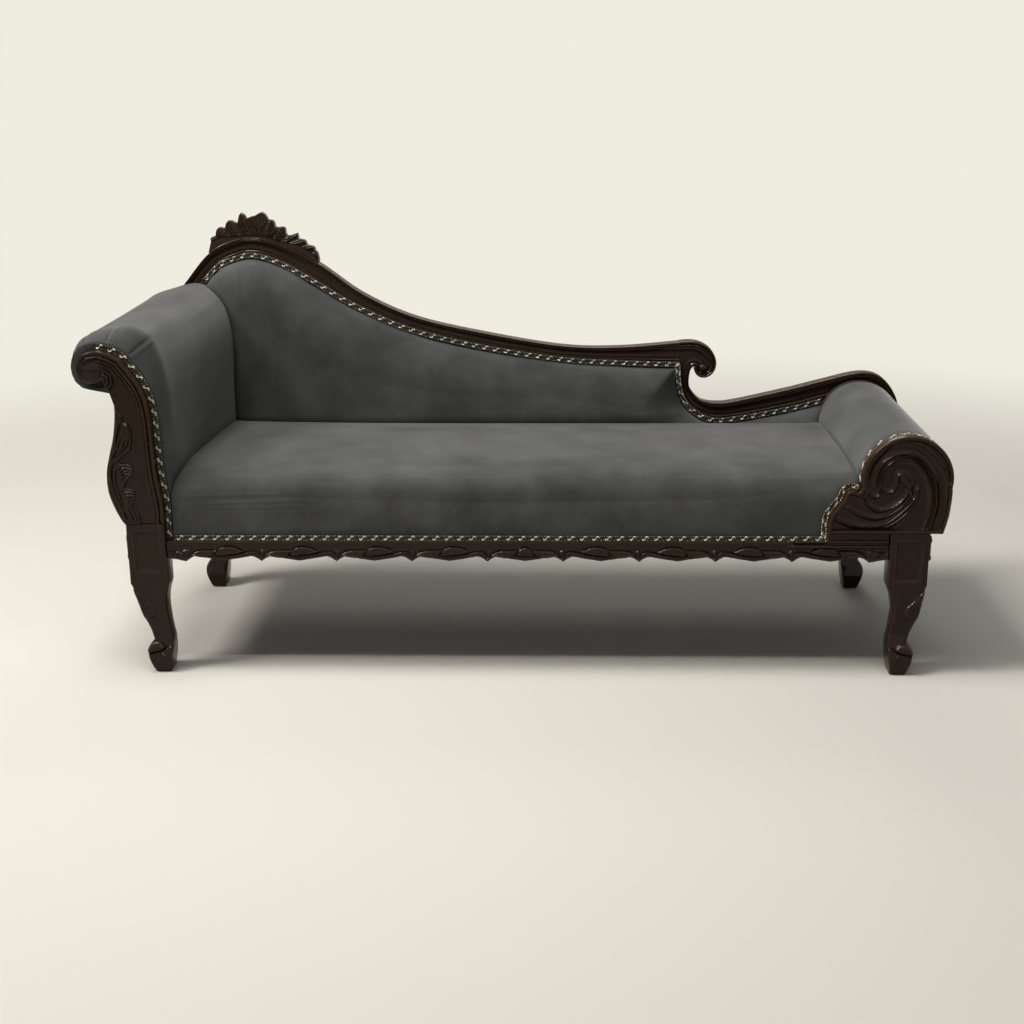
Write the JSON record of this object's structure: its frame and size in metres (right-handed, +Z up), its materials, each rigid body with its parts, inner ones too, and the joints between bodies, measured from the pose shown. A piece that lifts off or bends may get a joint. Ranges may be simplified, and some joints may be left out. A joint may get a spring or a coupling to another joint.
{
  "type": "fainting couch",
  "caption": "Fainting couch with a carved dark wood show frame, scrolled head arm, sloping back with a crest, rolled foot end and charcoal velvet upholstery.",
  "frame": {"origin": "on the floor under the middle of the couch's bounding box", "axes": "+X from the head end to the foot end, +Y from the open front to the back, +Z up"},
  "size_m": [1.8366, 0.6212, 0.932],
  "materials": {
    "espresso_wood": "dark espresso stain under semi-gloss lacquer",
    "frame_wood": "sawn hardwood, unfinished",
    "charcoal_velvet": "short-pile charcoal velvet",
    "gimp_braid": "black gimp braid with antique gold and silver twists",
    "jute_webbing": "woven jute webbing",
    "dust_lining": "black non-woven lining"
  },
  "bodies": {
    "root": {"back_gimp": "gimp_braid", "back_pad": "charcoal_velvet", "back_stile_centre": "frame_wood", "back_stile_foot": "frame_wood", "back_stile_head": "frame_wood", "back_stile_stem": "frame_wood", "crest_carving": "espresso_wood", "crest_rail": "espresso_wood", "cross_rail_1": "frame_wood", "cross_rail_2": "frame_wood", "cross_rail_3": "frame_wood", "dust_cover": "dust_lining", "foot_back_rail": "espresso_wood", "foot_roll_pad": "charcoal_velvet", "foot_side_apron": "espresso_wood", "foot_side_rail": "frame_wood", "foot_volute_panel": "espresso_wood", "front_apron": "espresso_wood", "front_foot_corner_block": "frame_wood", "front_foot_leg": "espresso_wood", "front_head_corner_block": "frame_wood", "front_head_leg": "espresso_wood", "front_seat_rail": "frame_wood", "head_arm_front_board": "frame_wood", "head_arm_gimp": "gimp_braid", "head_arm_lumbar_slat": "frame_wood", "head_arm_pad": "charcoal_velvet", "head_arm_post": "espresso_wood", "head_arm_rear_board": "frame_wood", "head_arm_roll_slat": "frame_wood", "head_arm_shoulder_slat": "frame_wood", "head_arm_tacking_slat": "frame_wood", "head_side_apron": "espresso_wood", "head_side_rail": "frame_wood", "outside_arm_panel": "charcoal_velvet", "outside_back_panel": "charcoal_velvet", "outside_roll_panel": "charcoal_velvet", "rear_foot_corner_block": "frame_wood", "rear_foot_leg": "espresso_wood", "rear_head_corner_block": "frame_wood", "rear_head_leg": "espresso_wood", "rear_seat_rail": "frame_wood", "roll_front_board": "frame_wood", "roll_front_gimp": "gimp_braid", "roll_inner_slat": "frame_wood", "roll_lower_slat": "frame_wood", "roll_outer_slat": "frame_wood", "roll_rear_board": "frame_wood", "roll_rear_gimp": "gimp_braid", "roll_upper_slat": "frame_wood", "seat_cushion": "charcoal_velvet", "seat_front_gimp": "gimp_braid", "seat_webbing": "jute_webbing", "volute_gimp": "gimp_braid"}
  },
  "joints": []
}
